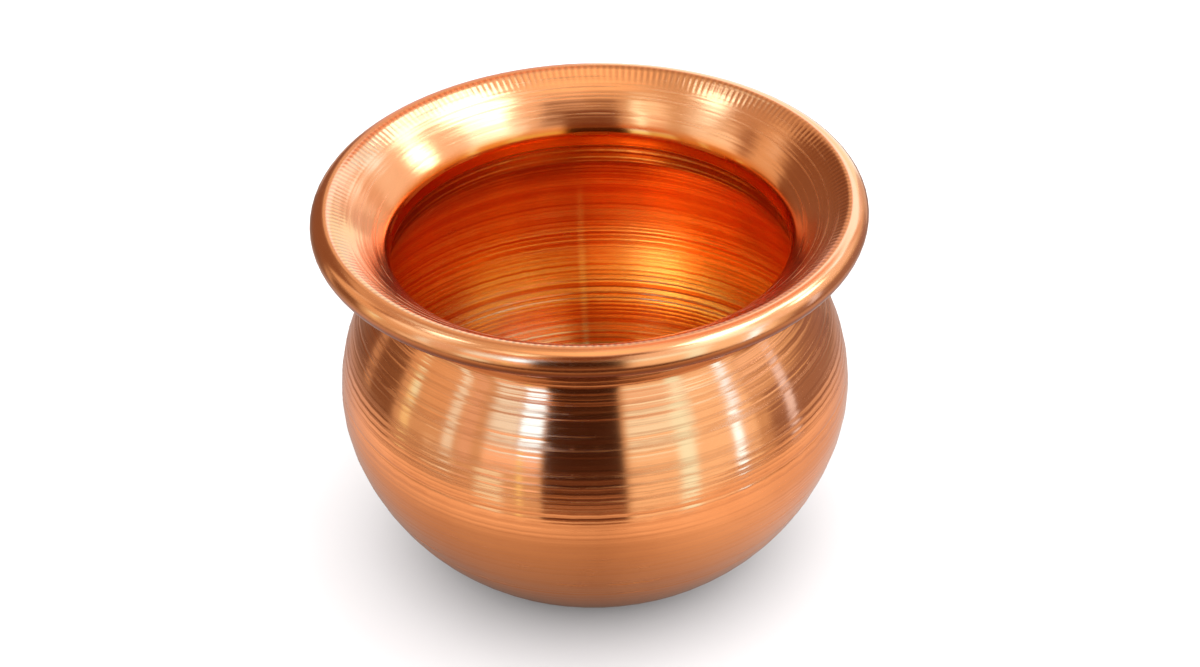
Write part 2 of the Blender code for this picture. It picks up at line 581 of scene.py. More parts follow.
@dataclass(frozen=True)
class CopperFinish:
    """Turned copper: fine rings round the axis, faint clouds of tarnish, and a streaked gloss.

    The fade heights are where the dark ring lines and the painted highlight along the rings come in. The
    spans named line, scratch and cloud are values of noise. The tones and patches lay painted shade and
    painted highlights over the colour.
    """

    name: str
    colour: Colour
    tarnish: Colour
    roughness: float
    anisotropy: float
    ring_scale: float = 1000.0
    ring_detail: float = 2.0
    ring_relief: float = 0.008 * MM
    swell_scale: float = 70.0
    swell_detail: float = 2.0
    swell_ramp: Ramp = (0.35, 0.65, 0.4, 1.4)
    scratch_roughness: float = 0.18
    scratch_span: Span = (0.04, 0.2)
    cloud_scale: float = 45.0
    cloud_detail: float = 5.0
    cloud_share: float = 0.35
    cloud_span: Span = (0.42, 0.72)
    cloud_roughness: float = 0.06
    groove_tarnish: float = 0.0
    ring_tarnish: float = 0.0
    ring_colour: Colour = RING_TARNISH
    ring_line: Span = (-0.02, 0.09)
    ring_fade: Span = (-2.0, -1.0)
    ring_faded: float = 0.3
    # Painted highlight along the ring lines: its strength, the noise span of its lines and the heights where
    # it comes in.
    ring_highlight: float = 0.0
    highlight_line: Span = (0.0, -0.10)
    highlight_fade: Span = (14.0 * MM, 26.0 * MM)
    tones: tuple[Tone, ...] = ()
    patches: tuple[Patch, ...] = ()

    def material(self) -> bpy.types.Material:
        """Build the node tree.

        Noise is read at (distance from the axis, height), so it runs in rings; that drives a slight
        bump and the roughness. Noise in plain object space mixes in the tarnish.

        Returns:
            The material.
        """
        made = bpy.data.materials.new(self.name)
        made.use_nodes = True
        made.diffuse_color = (*self.colour, 1.0)
        made.metallic = 1.0
        made.roughness = self.roughness
        tree = NodeTree(made.node_tree)
        place = tree.node("ShaderNodeTexCoord").outputs["Object"]
        rings = self.rings(tree, place)
        clouds = self.clouds(tree, place)

        shader = tree.node("ShaderNodeBsdfPrincipled")
        shader.inputs["Metallic"].default_value = 1.0
        shader.inputs["Anisotropic"].default_value = self.anisotropy
        shader.inputs["Anisotropic Rotation"].default_value = QUARTER_TURN
        tree.link(self.colouring(tree, place, rings, clouds), shader.inputs["Base Color"])
        roughest = self.roughness + self.scratch_roughness
        scratches = tree.ramp(rings, *self.scratch_span, self.roughness, roughest, smooth=True)
        roughness = tree.math("MULTIPLY_ADD", clouds, self.cloud_roughness, scratches)
        tree.link(roughness, shader.inputs["Roughness"])
        bump = tree.node("ShaderNodeBump")
        bump.inputs["Strength"].default_value = 1.0
        bump.inputs["Distance"].default_value = self.ring_relief
        tree.link(rings, bump.inputs["Height"])
        tree.link(bump.outputs[0], shader.inputs["Normal"])
        tangent = tree.node("ShaderNodeTangent", direction_type="RADIAL", axis="Z")
        tree.link(tangent.outputs[0], shader.inputs["Tangent"])
        output = tree.node("ShaderNodeOutputMaterial")
        tree.link(shader.outputs[0], output.inputs["Surface"])
        return made

    def colouring(self, tree: NodeTree, place: Socket, rings: Socket, clouds: Socket) -> Socket:
        """Lay the tones, patches and ring lines over the plain colour, one after another. The height tones
        are mostly painted shade, the patches painted highlights and painted shade, and the bright ring lines
        a painted highlight.

        Args:
            tree: Tree to add to.
            place: Object coordinates.
            rings: Noise of the rings.
            clouds: Share of tarnish.

        Returns:
            The colour.
        """
        height = tree.axes(place)[2]
        colour = tree.mix(clouds, self.colour, self.tarnish)
        if self.ring_tarnish:
            lines = tree.ramp(rings, *self.ring_line, 0.0, self.ring_tarnish, smooth=True)
            lines = tree.product(lines, tree.ramp(height, *self.ring_fade, self.ring_faded, 1.0))
            colour = tree.mix(lines, colour, self.ring_colour)
        # Height tones: mostly painted shade, under the bead, in the throat and high in the bowl.
        for tone in self.tones:
            colour = tree.mix(tree.ramp(height, tone.none, tone.full, smooth=True), colour, tone.colour)
        # Patches: painted highlights and painted shade on the inside wall.
        for patch in self.patches:
            colour = tree.mix(patch.share(tree, place, rings), colour, patch.colour)
        # Painted highlight along the ring lines, coming in higher up the wall.
        if self.ring_highlight:
            lines = tree.ramp(rings, *self.highlight_line, 0.0, self.ring_highlight, smooth=True)
            lines = tree.product(lines, tree.ramp(height, *self.highlight_fade, smooth=True))
            colour = tree.mix(lines, colour, PAINTED_HIGHLIGHT)
        if self.groove_tarnish:
            groove = tree.node("ShaderNodeAttribute", attribute_name=GROOVE).outputs["Fac"]
            colour = tree.mix(tree.product(groove, self.groove_tarnish), colour, GROOVE_TARNISH)
        return colour

    def rings(self, tree: NodeTree, place: Socket) -> Socket:
        """Noise that changes only across the rings, stronger in some places than in others.

        Args:
            tree: Tree to add to.
            place: Object coordinates.

        Returns:
            A value about 0.
        """
        x, y, z = tree.axes(place)
        squares = tree.math("ADD", tree.product(x, x), tree.product(y, y))
        section = tree.node("ShaderNodeCombineXYZ")
        tree.link(tree.math("SQRT", squares), section.inputs[0])
        tree.link(z, section.inputs[2])
        rings = self.noise(tree, section.outputs[0], self.ring_scale, self.ring_detail)
        swell = tree.ramp(self.noise(tree, place, self.swell_scale, self.swell_detail), *self.swell_ramp)
        return tree.product(tree.math("SUBTRACT", rings, 0.5), swell)

    @staticmethod
    def noise(tree: NodeTree, place: Socket, scale: float, detail: float) -> Socket:
        """Add a noise texture.

        Args:
            tree: Tree to add to.
            place: Where to read it.
            scale: Patches to the metre.
            detail: Number of finer layers.

        Returns:
            A value about 0.5.
        """
        made = tree.node("ShaderNodeTexNoise", noise_dimensions="3D")
        made.inputs["Scale"].default_value = scale
        made.inputs["Detail"].default_value = detail
        made.inputs["Roughness"].default_value = NOISE_GAIN
        tree.link(place, made.inputs["Vector"])
        return made.outputs[0]

    def clouds(self, tree: NodeTree, place: Socket) -> Socket:
        """Soft patches of tarnish.

        Args:
            tree: Tree to add to.
            place: Object coordinates.

        Returns:
            Share of tarnish, from 0 to cloud_share.
        """
        noise = self.noise(tree, place, self.cloud_scale, self.cloud_detail)
        return tree.ramp(noise, *self.cloud_span, 0.0, self.cloud_share, smooth=True)


# Painted highlight: a narrow bright streak up the inside wall near the back, where a reflection runs.
HIGHLIGHT_STREAK = Patch(PAINTED_HIGHLIGHT, strength=1.0, angle=math.radians(-2.3), core=0.0036, reach=0.024,
               low=(5.0 * MM, 9.0 * MM), high=(48.0 * MM, 58.0 * MM))
# Painted highlight: a pale patch low on the left of the inside wall.
LOW_HIGHLIGHT = Patch(PAINTED_HIGHLIGHT, strength=0.65, angle=-0.55, core=0.22, reach=0.5,
                   low=(5.0 * MM, 9.0 * MM), high=(17.0 * MM, 34.0 * MM))
# Painted highlight: a brighter patch right of the middle of the inside wall.
MID_HIGHLIGHT = Patch(PAINTED_HIGHLIGHT, strength=0.9, angle=0.25, core=0.06, reach=0.26,
                   low=(26.0 * MM, 37.0 * MM), high=(40.0 * MM, 52.0 * MM))
# Painted shade: a darker patch high on the right of the inside wall, standing for a dark reflection.
UPPER_SHADE = Patch((0.52, 0.22, 0.05), strength=0.9, angle=0.60, core=0.12, reach=0.36,
                    low=(36.0 * MM, 48.0 * MM), high=(60.0 * MM, 66.0 * MM), ring_share=0.75)
# Its tone is painted shade: the top of the neck darker, just under the bead.
OUTSIDE = CopperFinish("copper_turned_outside", COPPER, TARNISH, roughness=0.14, anisotropy=0.75,
                       ring_tarnish=0.32, ring_fade=(30.0 * MM, 42.0 * MM),
                       tones=(Tone(63.9 * MM, 65.4 * MM, (0.52, 0.15, 0.042)),))
# Its upper tone is painted shade: the inside wall darker towards its top, under the throat. Near the bottom
# it goes back to plain COPPER.
INSIDE = CopperFinish("copper_turned_inside", COPPER_INSIDE_LIT, TARNISH, roughness=0.20, anisotropy=0.75,
                      ring_scale=1100.0, ring_detail=1.5, ring_relief=0.006 * MM, scratch_roughness=0.06,
                      ring_tarnish=0.8, ring_colour=(0.80, 0.17, 0.018), ring_fade=(3.0 * MM, 12.0 * MM),
                      ring_highlight=0.4, patches=(UPPER_SHADE, LOW_HIGHLIGHT, MID_HIGHLIGHT, HIGHLIGHT_STREAK),
                      tones=(Tone(54.0 * MM, 63.0 * MM, (0.47, 0.11, 0.015)),
                             Tone(13.0 * MM, 5.0 * MM, COPPER)))
# Its tone is painted shade: darker and redder down in the throat, where it turns into the bowl.
MOUTH = CopperFinish("copper_polished_mouth", COPPER, TARNISH, roughness=0.165, anisotropy=0.75,
                     ring_detail=1.0, groove_tarnish=0.5,
                     tones=(Tone(74.0 * MM, 72.0 * MM, (0.80, 0.17, 0.016)),))
# Its tone is painted shade: the lower side of the bead darker.
ROLL = CopperFinish("copper_rolled_rim", COPPER, TARNISH, roughness=0.17, anisotropy=0.5,
                    ring_detail=1.0, ring_relief=0.003 * MM, scratch_roughness=0.08, cloud_share=0.2,
                    tones=(Tone(78.8 * MM, 77.0 * MM, (0.30, 0.075, 0.016)),))
# Its tone is painted shade: darker towards the sleeve's lower edge.
UNDERSIDE = CopperFinish("copper_underside", COPPER, TARNISH, roughness=0.30, anisotropy=0.5, cloud_share=0.6,
                         tones=(Tone(69.7 * MM, 69.1 * MM, (0.52, 0.11, 0.015)),))
WIRE = CopperFinish("copper_drawn_wire", (0.80, 0.34, 0.15), TARNISH, roughness=0.40, anisotropy=0.2,
                    cloud_share=0.7)
FILLER = CopperFinish("brazing_filler", (0.74, 0.42, 0.18), (0.40, 0.20, 0.09), roughness=0.42,
                      anisotropy=0.0, cloud_scale=260.0, cloud_share=0.8)


def wear(piece: bpy.types.Object, slot: str, node: str, *finishes: CopperFinish) -> None:
    """Dress a piece and put it in its node's place.

    Args:
        piece: The piece.
        slot: Not used.
        node: Node of the part that it stands for.
        finishes: Its finishes, in the order of its faces' indices.
    """
    for finish in finishes:
        known = bpy.data.materials.get(finish.name)
        piece.data.materials.append(known or finish.material())
    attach(piece, ROOT_BODY)
    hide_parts(node)
    LOG.info("%s: %d points, %d faces", piece.name, len(piece.data.vertices), len(piece.data.polygons))


# The pot

@dataclass(frozen=True)
class Lota:
    """Sizes that the pieces share, read from the part's boxes or set here once."""

    height: float
    rim_radius: float
    belly_radius: float
    wall: float = 0.8 * MM
    clearance: float = 0.3 * MM
    wire_radius: float = 2.0 * MM
    throat_radius: float = 39.8 * MM
    throat_depth: float = 10.5 * MM
    throat_fillet: float = 3.8 * MM
    flare_bend: float = 40.0 * MM
    sleeve_lap: float = 1.6 * MM

    @classmethod
    def from_frame(cls) -> "Lota":
        """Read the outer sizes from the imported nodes, the rim's from the flats of its facets.

        Returns:
            The sizes, to a tenth of a millimetre.
        """
        mouth_low, mouth_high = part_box("flared_mouth")
        bowl_low, bowl_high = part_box("bowl")
        facet = math.cos(math.pi / CAD_SIDES)
        return cls(
            height=round(mouth_high[2], 4),
            rim_radius=round((mouth_high[0] - mouth_low[0]) / 2 / facet, 4),
            belly_radius=round((bowl_high[0] - bowl_low[0]) / 2, 4))

    @property
    def roll_radius(self) -> float:
        """Outside radius of the rolled edge."""
        return self.wire_radius + self.clearance + self.wall

    @property
    def roll_centre(self) -> Array:
        """Centre of the rolled edge, and of the wire in it."""
        return np.array([self.rim_radius - self.roll_radius, self.height - self.roll_radius])

    @property
    def throat_centre(self) -> Array:
        """Centre of the bend between throat and flare."""
        return np.array([self.throat_radius + self.throat_fillet, self.height - self.throat_depth])

    @property
    def neck_top(self) -> float:
        """Height of the bowl's neck edge."""
        return float(self.throat_centre[1])

    @property
    def neck_outer(self) -> float:
        """Outside radius of the bowl's neck."""
        return self.throat_radius + self.clearance + 2 * self.wall

    def flare(self) -> tuple[Array, float, float]:
        """Circle of the flare: it wraps round the throat bend and the roll and touches both.

        Returns:
            Its centre, and the angles at which it touches the throat bend and the roll.
        """
        to_throat = self.flare_bend - self.throat_fillet
        to_roll = self.flare_bend - self.roll_radius
        span = self.roll_centre - self.throat_centre
        length = float(np.hypot(*span))
        along = (to_throat**2 - to_roll**2 + length**2) / (2 * length)
        aside = math.sqrt(to_throat**2 - along**2)
        way = span / length
        centre = self.throat_centre + along * way + aside * np.array([way[1], -way[0]])
        low = math.atan2(*(self.throat_centre - centre)[::-1])
        high = math.atan2(*(self.roll_centre - centre)[::-1])
        return centre, low, high


@dataclass
class Bowl:
    """Spun bowl: flat base, belly, shoulder and a short upright neck."""

    lota: Lota
    base_radius: float = 20.0 * MM
    belly_height: float = 37.5 * MM
    neck_length: float = 5.64 * MM
    neck_fillet: float = 2.0 * MM
    shoulder_slope: float = math.radians(54.5)
    base_sweep: float = 16.5 * MM
    belly_sweep_down: float = 16.2 * MM
    belly_sweep_up: float = 10.7 * MM
    shoulder_sweep: float = 8.34 * MM
    spacing: float = 0.15 * MM
    around: int = 64
    base_blend: Span = (0.2 * MM, 3.0 * MM)
    edge_rows: int = 3
    outside_rings: TurnedRings = TurnedRings(
        seed=3, ripple=0.011 * MM, ripple_pitch=1.25 * MM, score=0.034 * MM, score_pitch=0.8 * MM,
        score_width=0.26 * MM, wave=0.006 * MM, wave_pitch=4.7 * MM)
    inside_rings: TurnedRings = TurnedRings(
        seed=8, ripple=0.027 * MM, ripple_pitch=1.12 * MM, score=0.006 * MM, score_pitch=0.9 * MM,
        score_width=0.45 * MM, wave=0.008 * MM, wave_pitch=5.3 * MM)

    def outside(self) -> Profile:
        """Outer face from the axis to the neck's edge: line, two cubics, an arc and a line.

        Returns:
            The run.
        """
        lota = self.lota
        foot = np.array([self.base_radius, 0.0])
        belly = np.array([lota.belly_radius, self.belly_height])
        neck_low = np.array([lota.neck_outer, lota.neck_top - self.neck_length])
        bend_centre = neck_low + np.array([self.neck_fillet, 0.0])
        bend_start = 1.5 * math.pi - self.shoulder_slope
        shoulder = on_circle(bend_centre, self.neck_fillet, bend_start)
        shoulder_way = np.array([-math.cos(self.shoulder_slope), math.sin(self.shoulder_slope)])
        return Profile.line(np.zeros(2), foot, self.spacing).then(
            Profile.curve(foot, foot + np.array([self.base_sweep, 0.0]),
                          belly - np.array([0.0, self.belly_sweep_down]), belly, self.spacing),
            Profile.curve(belly, belly + np.array([0.0, self.belly_sweep_up]),
                          shoulder - self.shoulder_sweep * shoulder_way, shoulder, self.spacing),
            Profile.arc(bend_centre, self.neck_fillet, bend_start, math.pi, self.spacing),
            Profile.line(neck_low, np.array([lota.neck_outer, lota.neck_top]), self.spacing))

    def build(self) -> bpy.types.Object:
        """Spin the sheet: the outer face, a rounded edge and the inner face, each with its rings.

        Returns:
            The finished piece.
        """
        run = self.outside()
        along = run.lengths()
        wall_thickness = self.lota.wall
        from_axis = smooth_step(along, *self.base_blend)
        outer = run.points + (self.outside_rings.depth(along) * from_axis)[:, None] * run.normals
        outer[:, 1] = np.maximum(outer[:, 1], 0.0)
        inset = wall_thickness - self.inside_rings.depth(along) * from_axis
        inner = run.points + inset[:, None] * run.normals
        edge = rounded_edge(outer[-1], run.normals[-1], np.array([0.0, 1.0]), wall_thickness)
        edge[:, 1] -= 0.5 * wall_thickness
        rows = np.concatenate([outer[1:-self.edge_rows], edge, inner[-self.edge_rows - 1:0:-1]])
        finish = np.full(len(rows), Face.HIDDEN.value)
        finish[: len(outer) - self.edge_rows - 1] = Face.SHOWN.value
        body = LatheMesh(Side.LEFT)
        base = body.band(np.zeros((1, 1)), np.full((1, 1), outer[0, 1]), finish[:1])
        wall = body.band(*spread(rows, self.around), finish)
        floor = body.band(np.zeros((1, 1)), np.full((1, 1), inner[0, 1]), finish[-1:])
        body.sew(base[0], wall[0], Face.SHOWN)
        body.sew(wall[-1], floor[0], Face.HIDDEN)
        piece = body.to_object("bowl_turned")
        wear(piece, "bowl_copper", "bowl", OUTSIDE, INSIDE)
        return piece


@dataclass
class FlaredMouth:
    """Spun mouth: sleeve, throat bend, trumpet flare and the edge rolled over the wire, with milled ticks."""

    lota: Lota
    roll_slit: float = 0.5 * MM
    spacing: float = 0.17 * MM
    around: int = 96
    ticks: int = 240
    points_per_tick: int = 6
    tick_outer: float = 51.9 * MM
    tick_inner: float = 47.0 * MM
    tick_depth: float = 0.035 * MM
    tick_rise: float = 2.4 * MM
    tick_slant: float = 0.35
    tick_start: Span = (0.0, 0.12)
    tick_fade: Span = (0.35, 1.0)
    tick_unevenness: float = 0.15
    tick_beats: Span = (0.61, 0.23)
    rings: TurnedRings = TurnedRings(
        seed=21, ripple=0.004 * MM, ripple_pitch=1.1 * MM, score=0.014 * MM, score_pitch=0.6 * MM,
        score_width=0.28 * MM, wave=0.003 * MM, wave_pitch=4.1 * MM)

    def shown(self) -> Profile:
        """Shown face from the sleeve's lower edge to the end of the roll: a line and three arcs.

        Returns:
            The run.
        """
        lota = self.lota
        centre, low, high = lota.flare()
        sleeve_low = np.array([lota.throat_radius, lota.neck_top - lota.sleeve_lap])
        slit = math.acos((lota.roll_radius - lota.wall - self.roll_slit) / lota.roll_radius)
        return Profile.line(sleeve_low, np.array([lota.throat_radius, lota.neck_top]), self.spacing).then(
            Profile.arc(lota.throat_centre, lota.throat_fillet, math.pi, low, self.spacing),
            Profile.arc(centre, lota.flare_bend, low, high, self.spacing),
            Profile.arc(lota.roll_centre, lota.roll_radius, high, high + slit - math.tau, self.spacing))

    def tick_strength(self, radius: Array) -> Array:
        """How far the ticks are cut: a raised cosine round the rim that starts at the bead and fades inwards.

        Args:
            radius: Radius of each ring of the band.

        Returns:
            Share of the full depth at each ring and each place round it.
        """
        inwards = (self.tick_outer - radius) / (self.tick_outer - self.tick_inner)
        fade = smooth_step(inwards, *self.tick_start) * (1.0 - smooth_step(inwards, *self.tick_fade))
        turn = np.arange(self.ticks * self.points_per_tick) / self.points_per_tick
        phase = math.tau * (turn + self.tick_slant * inwards[:, None] ** 2)
        fast, slow = self.tick_beats
        beat = np.sin(turn * fast) * np.sin(turn * slow + 1.0)
        uneven = 1.0 - self.tick_unevenness + self.tick_unevenness * beat
        return fade[:, None] * uneven * (0.5 + 0.5 * np.cos(phase))

    def build(self) -> bpy.types.Object:
        """Spin the sheet in three bands, the middle one fine enough round for the ticks.

        Returns:
            The finished piece.
        """
        lota = self.lota
        run = self.shown()
        along = run.lengths()
        inwards = -run.normals
        widest = int(np.argmax(run.points[:, 0]))
        low, high = np.searchsorted(run.points[:widest, 0], (self.tick_inner, self.tick_outer))
        on_flare = 1.0 - smooth_step(run.points[:, 0], self.tick_inner, self.tick_outer)
        on_flare[widest:] = 0.0
        shown = run.points + (self.rings.depth(along) * on_flare)[:, None] * inwards
        hidden = run.points + lota.wall * inwards
        past_roll = np.array([-inwards[-1, 1], inwards[-1, 0]])
        top_edge = rounded_edge(shown[-1], inwards[-1], past_roll, lota.wall)
        low_edge = rounded_edge(hidden[0], -inwards[0], np.array([0.0, -1.0]), lota.wall)
        sleeve = shown[:low]
        after = np.concatenate([shown[high:], top_edge, hidden[::-2], low_edge])
        strength = self.tick_strength(shown[low:high, 0])
        rise = smooth_step(self.tick_outer - shown[low:high, 0], 0.0, self.tick_rise)[:, None]
        depth = self.tick_depth * rise * strength
        ticked = shown[low:high, None, :] + depth[..., None] * inwards[low:high, None, :]

        body = LatheMesh(Side.RIGHT)
        flare_band = body.band(*spread(sleeve, self.around), np.zeros(len(sleeve)))
        tick_band = body.band(ticked[..., 0], ticked[..., 1], np.zeros(len(ticked)))
        under = np.where(np.arange(len(after)) < len(shown) - high, Face.ROLLED.value, Face.HIDDEN.value)
        roll_band = body.band(*spread(after, self.around), under)
        body.sew(flare_band[-1], tick_band[0], Face.SHOWN)
        body.sew(tick_band[-1], roll_band[0], Face.ROLLED)
        body.sew(roll_band[-1], flare_band[0], Face.HIDDEN)
        piece = body.to_object("mouth_turned")
        groove = np.zeros(body.count, dtype=np.float32)
        groove[tick_band.ravel()] = strength.ravel()
        piece.data.attributes.new(GROOVE, "FLOAT", "POINT").data.foreach_set("value", groove)
        wear(piece, "mouth_copper", "flared_mouth", MOUTH, UNDERSIDE, ROLL)
        return piece


@dataclass
class RimWire:
    """Drawn wire bent into a ring, with a small gap where its ends meet."""

    lota: Lota
    butt_gap: float = 1.2 * MM
    sides: int = 20
    stations: int = 200

    def build(self) -> bpy.types.Object:
        """Carry a circle round the rim: ((R + r cos b) cos a, (R + r cos b) sin a, Z + r sin b).

        Returns:
            The finished piece.
        """
        centre_radius, centre_height = self.lota.roll_centre
        opening = self.butt_gap / centre_radius
        a = np.linspace(0.5 * opening, math.tau - 0.5 * opening, self.stations)[:, None]
        b = np.linspace(0.0, math.tau, self.sides, endpoint=False)[None]
        reach = centre_radius + self.lota.wire_radius * np.cos(b)
        height = centre_height + self.lota.wire_radius * np.sin(b)
        height = np.broadcast_to(height, (self.stations, self.sides))
        points = np.stack([reach * np.cos(a), reach * np.sin(a), height], axis=-1).reshape(-1, 3)
        index = np.arange(self.stations * self.sides).reshape(self.stations, self.sides)
        corners = [index[:-1], index[1:], np.roll(index[1:], -1, axis=1), np.roll(index[:-1], -1, axis=1)]
        faces = np.stack(corners, axis=-1).reshape(-1, 4).tolist()
        faces += [index[0].tolist(), index[-1, ::-1].tolist()]
        piece = new_object("rim_wire_ring", points, faces, np.zeros(len(faces), dtype=np.int32))
        wear(piece, "wire_copper", "rim_wire", WIRE)
        return piece


@dataclass
class BrazeRing:
    """Run of brazing filler on the neck's edge, thinning out under the flare."""

    lota: Lota
    length: float = 3.0 * MM
    toe: float = 0.2 * MM
    unevenness: float = 0.05 * MM
    swells: tuple[tuple[int, float, float], ...] = ((5, 1.0, 0.4), (11, 0.7, 2.0), (23, 0.5, 1.1))
    spacing: float = 0.15 * MM
    around: int = 240

    def build(self) -> bpy.types.Object:
        """Spin the fillet; its face swells and sinks by a few sines round the neck.

        Returns:
            The finished piece.
        """
        lota = self.lota
        centre, low, _ = lota.flare()
        bend = lota.throat_fillet - lota.wall - lota.clearance
        flare = lota.flare_bend - lota.wall - lota.clearance
        start = math.pi - math.asin(lota.clearance / bend)
        rest = self.length - bend * (start - low)
        seat = Profile.arc(lota.throat_centre, bend, start, low, self.spacing).then(
            Profile.arc(centre, flare, low, low - rest / flare, self.spacing))
        along = seat.lengths() / seat.lengths()[-1]
        thick = lota.wall + (self.toe - lota.wall) * along
        angle = np.arange(self.around) * (math.tau / self.around)
        swell = sum(share * np.sin(count * angle + lag) for count, share, lag in self.swells)
        depth = thick[:, None] + self.unevenness * swell[None] * np.sin(math.pi * along)[:, None]
        face = seat.points[:, None, :] - depth[..., None] * seat.normals[:, None, :]
        back = np.repeat(seat.points[:, None, :], self.around, axis=1)
        grid = np.concatenate([back, face[::-1]])
        body = LatheMesh(Side.RIGHT)
        ring = body.band(grid[..., 0], grid[..., 1], np.zeros(len(grid)))
        body.sew(ring[-1], ring[0], Face.SHOWN)
        piece = body.to_object("neck_braze")
        wear(piece, "braze_filler", "neck_braze_ring", FILLER)
        return piece


# The studio

@dataclass(frozen=True)
class Panel:
    """A soft-edged patch of the surround: a lamp, a wall or a dark gap, as seen from the pot.

    Azimuth is in degrees, 0 towards the camera and 90 to the right; elevation is in degrees.
    """

    name: str
    azimuth: Span
    elevation: Span
    radiance: Colour
    soft: float = 2.0
    fade: float = 2.0


def grey(level: float, warmth: float = 0.0) -> Colour:
    """Neutral light, or a little warmer or cooler.

    Args:
        level: Radiance.
        warmth: Share by which red rises and blue falls.

    Returns:
        The colour.
    """
    return (level * (1.0 + warmth), level, level * (1.0 - warmth))


